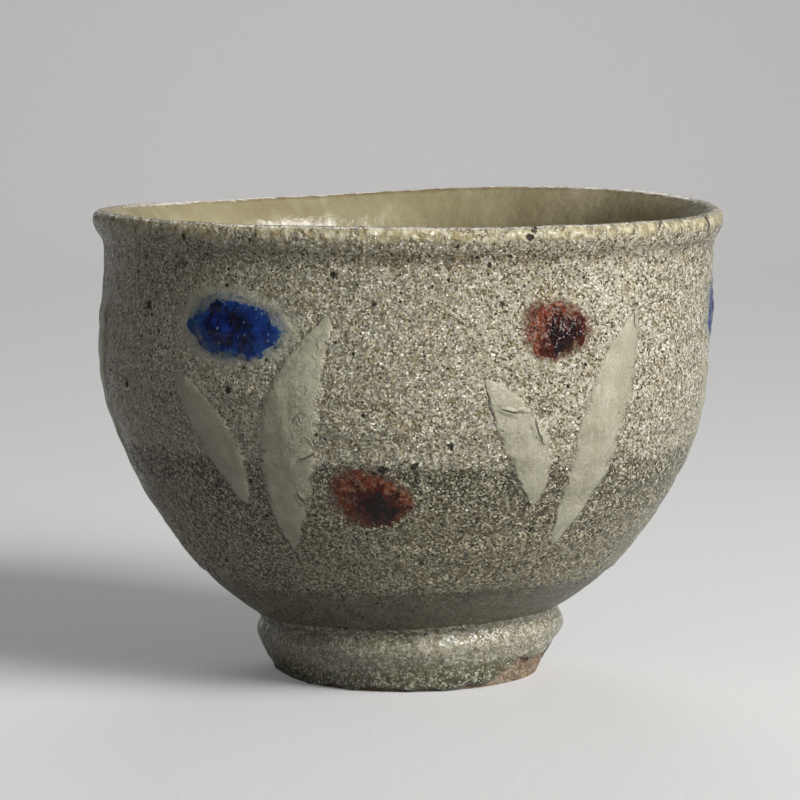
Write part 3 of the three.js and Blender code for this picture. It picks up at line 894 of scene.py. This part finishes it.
def sand(tree, base, contrast, spread=1.0, light=GRAIN_PALE_AND_GLINT):
    """Fused sand over a base colour: grains with their own tones, spread about it, and facets; the pale
    grains are partly white grains and partly painted glints.
    """
    chance, tilted = facets(tree, 0.3, 1.3)
    other, broad = facets(tree, 0.7, 0.8)
    level = tree.add(chance["Red"], chance["Green"])
    level = tree.add(level, tree.times(tree.less(other["Red"], 0.5), 0.5))
    level = tree.add(tree.times(tree.less(level, 1.0), spread), 1.0)
    tan = tree.ramp(tree.add(chance["Blue"], tree.times(other["Blue"], 0.6)), 0.8, 1.4)
    color = tree.blend(tree.times(tan, 0.7 * contrast), base, GRAIN_TAN, "MULTIPLY")
    dark = tree.ramp(level, 1.1, 0.2)
    color = tree.blend(tree.times(dark, contrast), color, GRAIN_DARK, "MULTIPLY")
    # pale grains: partly white grains, partly painted glints
    color = tree.tints(color, (tree.ramp(level, 1.1, 1.75), 0.85 * contrast, light))
    lumps = tree.times(tree.noise(1.1, 3.0, 0.6), 0.16)
    height = tree.add(tree.add(tilted, broad), lumps)
    return Look(color, tree.ramp(other["Green"], 0.0, 1.0, 0.1, 0.32), height)


# The dipped glaze, layer by layer
def sandy_dips(tree, lip, roll):
    """Sand, pale above the dip line and grey below it, with the tones of the lip: a brown crest, a roll
    lightened partly by painted highlight, and a groove darkened partly by painted shade.
    """
    wander = tree.add(tree.stray(0.8, 3.2, 3.0, 0.7), tree.stray(13, 2.4))
    level = tree.add(tree.mark("above_dip"), wander)
    above = tree.ramp(level, -0.9, 0.9)
    warm = tree.ramp(tree.noise(6, 4.0), 0.48, 0.72)
    pale = tree.tints(tree.mottle(18, UPPER_SAND), (warm, 0.4, UPPER_WARM))
    grey = tree.blend(tree.ramp(level, -17, -1), *LOWER_SAND)
    # the groove under the lip, darkened partly by a brown stain and partly by painted shade
    groove_stain_and_shade = tree.times(tree.ramp(lip, 3.4, 4.8), tree.ramp(lip, 9.0, 5.4))
    groove_stain_and_shade = tree.times(groove_stain_and_shade, tree.ramp(tree.noise(6, 3.0), 0.3, 0.65))
    crest = tree.times(tree.ramp(lip, 1.5, 0.7), tree.ramp(tree.noise(3, 3.0), 0.35, 0.6))
    base = tree.tints(
        tree.blend(above, grey, pale),
        (groove_stain_and_shade, 0.55, GROOVE_TAN_AND_SHADE),
        # the roll lightened partly by painted highlight
        (roll, 0.4, ROLL_CREAM_HIGHLIGHT),
        (crest, 0.8, CREST_BROWN),
    )
    # the pale grains above and below the dip line are partly painted glints
    light = tree.blend(above, LOWER_GRAIN_AND_GLINT, UPPER_GRAIN_AND_GLINT)
    return sand(tree, base, 1.0, tree.ramp(above, 0.0, 1.0, 1.5, 1.05), light)


def glassy_lip(tree, ground, roll):
    """Patches of smooth glass on the lip's roll, and the crack through it; the glass's pale tone is partly
    painted highlight.
    """
    color = tree.blend(tree.ramp(tree.noise(1.5, 3.0), 0.36, 0.64), *ROLL_GLASS_AND_HIGHLIGHT)
    glass = Look(color, tree.uneven(1.3, 0.08, 0.2), tree.times(tree.noise(1.6, 1.0), 0.8))
    broken = tree.times(roll, tree.ramp(tree.noise(2.4, 4.0, 0.6), 0.34, 0.54))
    look = cover(tree, tree.times(broken, 0.92), ground, glass, 0.05)
    look.color = tree.tints(look.color, (tree.ramp(tree.mark("nick"), 0.2, 0.45), 0.95, CRACK_DARK))
    return look


def trimmed(tree, ground):
    """The darker, speckled zone below the edge that trimming left; its darkness is painted shade under the
    bowl's hip, and its pale specks are partly painted glints.
    """
    ragged = tree.add(tree.mark("above_trim"), tree.stray(2.8, 9.0, 5.0, 0.7))
    share = tree.times(tree.ramp(ragged, 2.4, -2.4), 0.68)
    # dark grey of painted shade, with pale specks that are partly painted glints
    color = tree.tints(tree.mottle(3, TURNED_GREY_AND_SHADE, 4.0), (specks(tree, 1.3, 0.2, 0.45), 0.75, TURNED_SPECK_AND_GLINT))
    turned = Look(color, tree.uneven(1.2, 0.25, 0.5), tree.times(tree.noise(0.9, 3.0), 0.14))
    return cover(tree, share, ground, turned, 0.6)


def haloed(tree, ground):
    """Milky glaze and a blue tint around the cobalt, and rust around the iron."""
    blue = tree.mark("blue_halo")
    veil = tree.ramp(tree.add(blue, tree.times(tree.noise(1.6, 4.0, 0.6), 0.6)), 0.6, 1.2)
    bled = tree.ramp(tree.add(blue, tree.times(tree.noise(1.1, 4.0, 0.65), 0.5)), 1.05, 1.4)
    rust = tree.ramp(tree.add(tree.mark("brown_halo"), tree.noise(0.8, 4.0, 0.7)), 1.1, 1.7)
    relief = tree.times(tree.noise(1.0, 3.0), 0.2)
    milk = Look(tree.mottle(3, HALO_MILK), tree.uneven(1.0, 0.1, 0.25), relief)
    look = cover(tree, tree.times(veil, 0.9), ground, milk, 0.3)
    look.color = tree.tints(look.color, (bled, 0.75, HALO_BLUE), (rust, 0.8, HALO_RUST))
    return look


def pitted(tree, ground):
    """Pinholes, pits and spots of rust."""
    pinholes = specks(tree, 2.1, 0.3, 0.6)
    pits = specks(tree, 6.5, 0.7, 0.6)
    rust = specks(tree, 17, 1.0, 0.4)
    color = tree.tints(ground.color, (pinholes, 0.95, PINHOLE), (pits, 0.92, PIT), (rust, 0.8, RUST_SPOT))
    holes = tree.calc("MAXIMUM", pinholes, pits)
    height = tree.less(ground.height, tree.times(holes, 0.4))
    return Look(color, tree.between(holes, ground.rough, 0.9), height)


def coat_look(tree):
    lip = tree.mark("below_lip")
    roll = tree.times(tree.ramp(lip, 0.3, 0.8), tree.ramp(lip, 3.4, 1.9))
    look = glassy_lip(tree, sandy_dips(tree, lip, roll), roll)
    return pitted(tree, haloed(tree, trimmed(tree, look)))


def inner_glaze(tree):
    streak = tree.drawn(4.5, 4.0, 0.55, 0.1)
    lip = tree.add(tree.mark("below_lip"), tree.stray(2, 1.2, 3.0))
    spots = specks(tree, 5, 0.3, 0.4)
    color = tree.tints(
        tree.mottle(13, INNER_CREAM),
        (tree.ramp(streak, 0.5, 0.75), 0.4, INNER_PALE),
        (tree.ramp(streak, 0.5, 0.25), 0.4, INNER_DARK),
        (tree.ramp(lip, 1.5, 0.2, 0.0, 0.75), 1.0, INNER_LIP),
        (tree.ramp(lip, 62, 84), 0.5, INNER_POOL),
        (crackle(tree, 4.2, (2.0, 0.8), 9, 0.45, 0.65), 0.18, INNER_CRACKLE),
        (spots, 0.85, INNER_SPOT),
    )
    height = tree.add(tree.times(tree.noise(2.2, 3.0), 0.26), tree.times(tree.noise(0.5), 0.03))
    height = tree.less(height, tree.times(spots, 0.12))
    return Look(color, tree.uneven(2.5, 0.16, 0.36, 3.0), height)


def slip(tree):
    drag = tree.drawn(1.4, 4.0, 0.6, 0.16)
    lines = crackle(tree, 2.4, (1.2, 0.5), 5, 0.4, 0.6)
    wide = tree.cells(13, "DISTANCE_TO_EDGE", tree.warped(5.0, 1.6))["Distance"]
    some = tree.ramp(tree.noise(8), 0.56, 0.62)
    tear = tree.times(tree.ramp(wide, 0.016, 0.006), some)
    lifted = tree.times(tree.ramp(wide, 0.07, 0.02), some)
    spots = specks(tree, 4, 0.26, 0.45)
    color = tree.tints(
        tree.mottle(6, SLIP_CREAM, 4.0),
        (tree.ramp(drag, 0.5, 0.75), 0.35, SLIP_PALE),
        (tree.ramp(drag, 0.48, 0.25), 0.35, SLIP_DARK),
        (lines, 0.42, SLIP_CRACKLE),
        (tear, 0.8, SLIP_TEAR),
        (spots, 0.9, SLIP_SPOT),
    )
    height = tree.add(tree.times(tree.noise(1.8, 3.0), 0.12), tree.times(drag, 0.1))
    height = tree.add(tree.add(height, 0.45), tree.times(lifted, 0.2))
    sunk = tree.add(tree.times(tear, 0.35), tree.times(lines, 0.03))
    height = tree.less(height, tree.add(sunk, tree.times(spots, 0.15)))
    brushed = Look(color, tree.uneven(2, 0.22, 0.4), height)
    edge = tree.add(tree.mark("edge"), tree.stray(1.6, 0.6, 4.0, 0.6))
    return cover(tree, tree.ramp(edge, 0.98, 0.66), coat_look(tree), brushed, 0.2)


def frayed(tree, size, amount, bare, full):
    """How far a dab with a lobed and frayed outline covers the glaze."""
    lobes = tree.times(tree.less(tree.noise(4.5, 1.0), 0.55), 1.2)
    fray = tree.add(tree.stray(size, amount, 5.0, 0.72), lobes)
    return tree.ramp(tree.add(tree.mark("edge"), fray), bare, full)


def cobalt(tree):
    ragged = tree.add(tree.mark("edge"), tree.stray(2.6, 1.4, 4.0, 0.6))
    bubbles = specks(tree, 1.1, 0.22, 0.4)
    color = tree.tints(
        tree.blend(tree.ramp(tree.noise(2.2, 4.0, 0.65), 0.4, 0.62), *COBALT_DEEP),
        (tree.ramp(ragged, 0.45, 0.85), 1.0, COBALT_MID),
        (tree.ramp(ragged, 0.85, 1.1), 1.0, COBALT_EDGE),
        (specks(tree, 1.8, 0.22, 0.35), 0.85, COBALT_SPOT),
        # bubbles: partly bubbles, partly painted glints
        (bubbles, 0.5, COBALT_BUBBLE_GLINT),
    )
    height = tree.add(tree.times(tree.noise(1.5, 2.0, 0.4), 0.42), tree.times(bubbles, 0.03))
    glass = Look(color, tree.uneven(1.5, 0.05, 0.14), height)
    share = frayed(tree, 1.1, 1.0, 0.95, 0.76)
    return cover(tree, share, coat_look(tree), glass)


def iron(tree):
    drag = tree.drawn(2.6, 5.0, 0.62, 0.45)
    ragged = tree.add(tree.mark("core"), tree.times(tree.less(drag, 0.5), 2.4))
    flecks = tree.times(tree.ramp(tree.noise(1.0, 4.0, 0.7), 0.5, 0.58), tree.ramp(ragged, 0.4, 0.8))
    fold = tree.calc("ABSOLUTE", tree.less(tree.noise(3.0, 3.0, 0.55, tree.warped(1.5, 0.6)), 0.5))
    veins = tree.times(tree.ramp(fold, 0.035, 0.012), tree.ramp(tree.mark("edge"), 0.92, 0.7))
    color = tree.tints(
        tree.blend(tree.ramp(tree.noise(2.2, 3.0), 0.35, 0.65), *IRON_CORE),
        (tree.ramp(ragged, 0.32, 0.5), 1.0, IRON_MID),
        (tree.ramp(ragged, 0.72, 0.98), 1.0, IRON_EDGE),
        (flecks, 0.55, IRON_FLECK),
        (veins, 0.75, IRON_VEIN),
    )
    height = tree.add(tree.times(tree.noise(1.6, 2.0, 0.4), 0.34), tree.times(tree.noise(0.6), 0.03))
    glass = Look(color, tree.ramp(ragged, 0.3, 1.0, 0.08, 0.3), height)
    share = frayed(tree, 1.2, 1.7, 0.94, 0.78)
    return cover(tree, share, coat_look(tree), glass, 0.4)


def foot_glaze(tree):
    up = tree.add(tree.mark("up_foot"), tree.stray(2.4, 6.0, 4.0, 0.6))
    thin = tree.times(tree.ramp(tree.mark("from_edge"), 1.0, 0.1), tree.ramp(tree.mark("bare"), 0.3, 0.8))
    base = tree.tints(
        tree.mottle(5, FOOT_SAND),
        (tree.ramp(up, 6.6, 2.8), 0.9, FOOT_OLIVE),
        (tree.ramp(up, 3.4, 0.2), 0.85, FOOT_DARK),
        # the foot's top darkened by painted shade under the hip
        (tree.ramp(up, 9.0, 12.0), 0.7, FOOT_TOP_SHADE),
        (thin, 0.6, FOOT_THIN),
    )
    look = sand(tree, base, 0.65)
    beads = specks(tree, 2.0, 0.44, 0.45)
    color = tree.tints(
        look.color,
        (tree.ramp(tree.noise(1.5, 4.0, 0.6), 0.56, 0.7), 0.65, FOOT_DRIP),
        # beads painted pale as glints
        (beads, 0.6, FOOT_BEAD_GLINT),
        (specks(tree, 3, 0.3, 0.4), 0.85, FOOT_SPOT),
    )
    lumps = tree.add(tree.times(tree.noise(2.4, 2.0, 0.4), 0.6), tree.times(beads, 0.08))
    height = tree.add(tree.times(look.height, 0.25), lumps)
    return Look(color, tree.uneven(1.8, 0.05, 0.16), height)


def bare_clay(tree):
    flash = tree.ramp(tree.noise(9, 3.0), 0.5, 0.72)
    base = tree.tints(tree.mottle(6, CLAY_BUFF, 4.0, 0.6), (flash, 0.5, CLAY_FLASH))
    look = sand(tree, base, 0.5)
    color = tree.tints(look.color, (specks(tree, 2.6, 0.3, 0.5), 0.8, CLAY_SPOT))
    height = tree.add(tree.times(look.height, 0.6), tree.times(tree.noise(1.8, 4.0, 0.6), 0.4))
    return Look(color, tree.uneven(1.0, 0.75, 0.95), height)


finishes = {}
for slot, name, look in (
    ("clay", "bare_clay", bare_clay),
    ("inner_glaze", "inner_cream_glaze", inner_glaze),
    ("upper_glaze", "upper_sandy_glaze", coat_look),
    ("lower_glaze", "lower_sandy_glaze", coat_look),
    ("foot_glaze", "foot_pooled_glaze", foot_glaze),
    ("slip", "brushed_slip", slip),
    ("cobalt", "cobalt_glass", cobalt),
    ("iron", "iron_glass", iron),
):
    tree = Tree(name)
    specular = DAB_SPECULAR if slot in ("cobalt", "iron") else GLAZE_SPECULAR
    finishes[slot] = tree.finish(look(tree), specular)
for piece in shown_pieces():
    piece.data.materials.clear()
    piece.data.materials.append(finishes[slot_of[piece.name]])


# Camera, floor and light, in metres and degrees; the sensor and lens in millimetres
CAMERA_PLACE, CAMERA_PITCH = (-0.00147, -0.683, 0.128), 6.5
CAMERA_SENSOR, CAMERA_LENS, CAMERA_CLIP = 36, 167.2, 0.01
STAGE_FRONT, STAGE_DEPTH, STAGE_SIDE, STAGE_TOP = -2.0, 0.9, 3.0, 2.5
STAGE_BEND, STAGE_BEND_STEPS = 0.6, 24
PAPER_ROUGHNESS, PAPER_GLOW = 0.8, 0.1
LIGHT_TARGET = (0, 0, 0.05)
WORLD_STRENGTH = 0.1


def add_camera():
    camera = add_object("camera", bpy.data.cameras.new("camera"))
    camera.location = CAMERA_PLACE
    camera.rotation_euler = (math.radians(90 - CAMERA_PITCH), 0, 0)
    camera.data.sensor_width = CAMERA_SENSOR
    camera.data.lens = CAMERA_LENS
    camera.data.clip_start = CAMERA_CLIP
    bpy.context.scene.camera = camera


def add_stage():
    """A pale sheet that bends up behind the bowl; what bounces off it is mid grey."""
    section = [(STAGE_FRONT, 0.0), (STAGE_DEPTH, 0.0)]
    for step in range(1, STAGE_BEND_STEPS + 1):
        angle = math.radians(90 * step / STAGE_BEND_STEPS)
        back, rise = STAGE_BEND * math.sin(angle), STAGE_BEND * (1 - math.cos(angle))
        section.append((STAGE_DEPTH + back, rise))
    section.append((STAGE_DEPTH + STAGE_BEND, STAGE_TOP))
    points = [(x, y, z) for y, z in section for x in (-STAGE_SIDE, STAGE_SIDE)]
    faces = [(2 * k, 2 * k + 1, 2 * k + 3, 2 * k + 2) for k in range(len(section) - 1)]
    mesh = bpy.data.meshes.new("floor")
    mesh.from_pydata(points, [], faces)
    mesh.shade_smooth()
    floor = add_object("floor", mesh)
    tree = Tree("pale_paper")
    path = tree.nodes.new("ShaderNodeLightPath").outputs
    seen = tree.calc("MAXIMUM", path["Is Camera Ray"], path["Is Glossy Ray"])
    seen = tree.calc("MAXIMUM", seen, path["Is Transmission Ray"])
    color = tree.blend(seen, PAPER_BOUNCE, tree.mottle(0.9, PAPER))
    tree.shader.inputs["Emission Color"].default_value = WHITE
    tree.feed(tree.shader.inputs["Emission Strength"], tree.times(path["Is Camera Ray"], PAPER_GLOW))
    look = Look(color, PAPER_ROUGHNESS, tree.times(tree.noise(0.5), 0.015))
    floor.data.materials.append(tree.finish(look, GLAZE_SPECULAR))


def add_light(name, place, size, watts, spread=180):
    """A square lamp turned towards the bowl."""
    lamp = bpy.data.lights.new(name, "AREA")
    lamp.shape = "SQUARE"
    lamp.size = size
    lamp.energy = watts
    lamp.spread = math.radians(spread)
    light = add_object(name, lamp)
    light.location = place
    ahead = np.array(LIGHT_TARGET) - np.array(place)
    tilt = math.atan2(math.hypot(ahead[0], ahead[1]), -ahead[2])
    light.rotation_euler = (tilt, 0, math.atan2(ahead[1], ahead[0]) - math.pi / 2)


def add_world():
    world = bpy.data.worlds.new("studio")
    world.use_nodes = True
    background = world.node_tree.nodes["Background"]
    background.inputs["Color"].default_value = WHITE
    background.inputs["Strength"].default_value = WORLD_STRENGTH
    bpy.context.scene.world = world


add_camera()
add_stage()
add_light("key", (0.83, -0.7, 0.7), size=0.65, watts=6.5, spread=100)
add_light("fill", (-0.9, -0.8, 0.5), size=0.9, watts=0.5)
add_light("back", (0.04, 1.2, 0.9), size=0.6, watts=4)
add_world()
bpy.context.scene.view_settings.view_transform = "Standard"
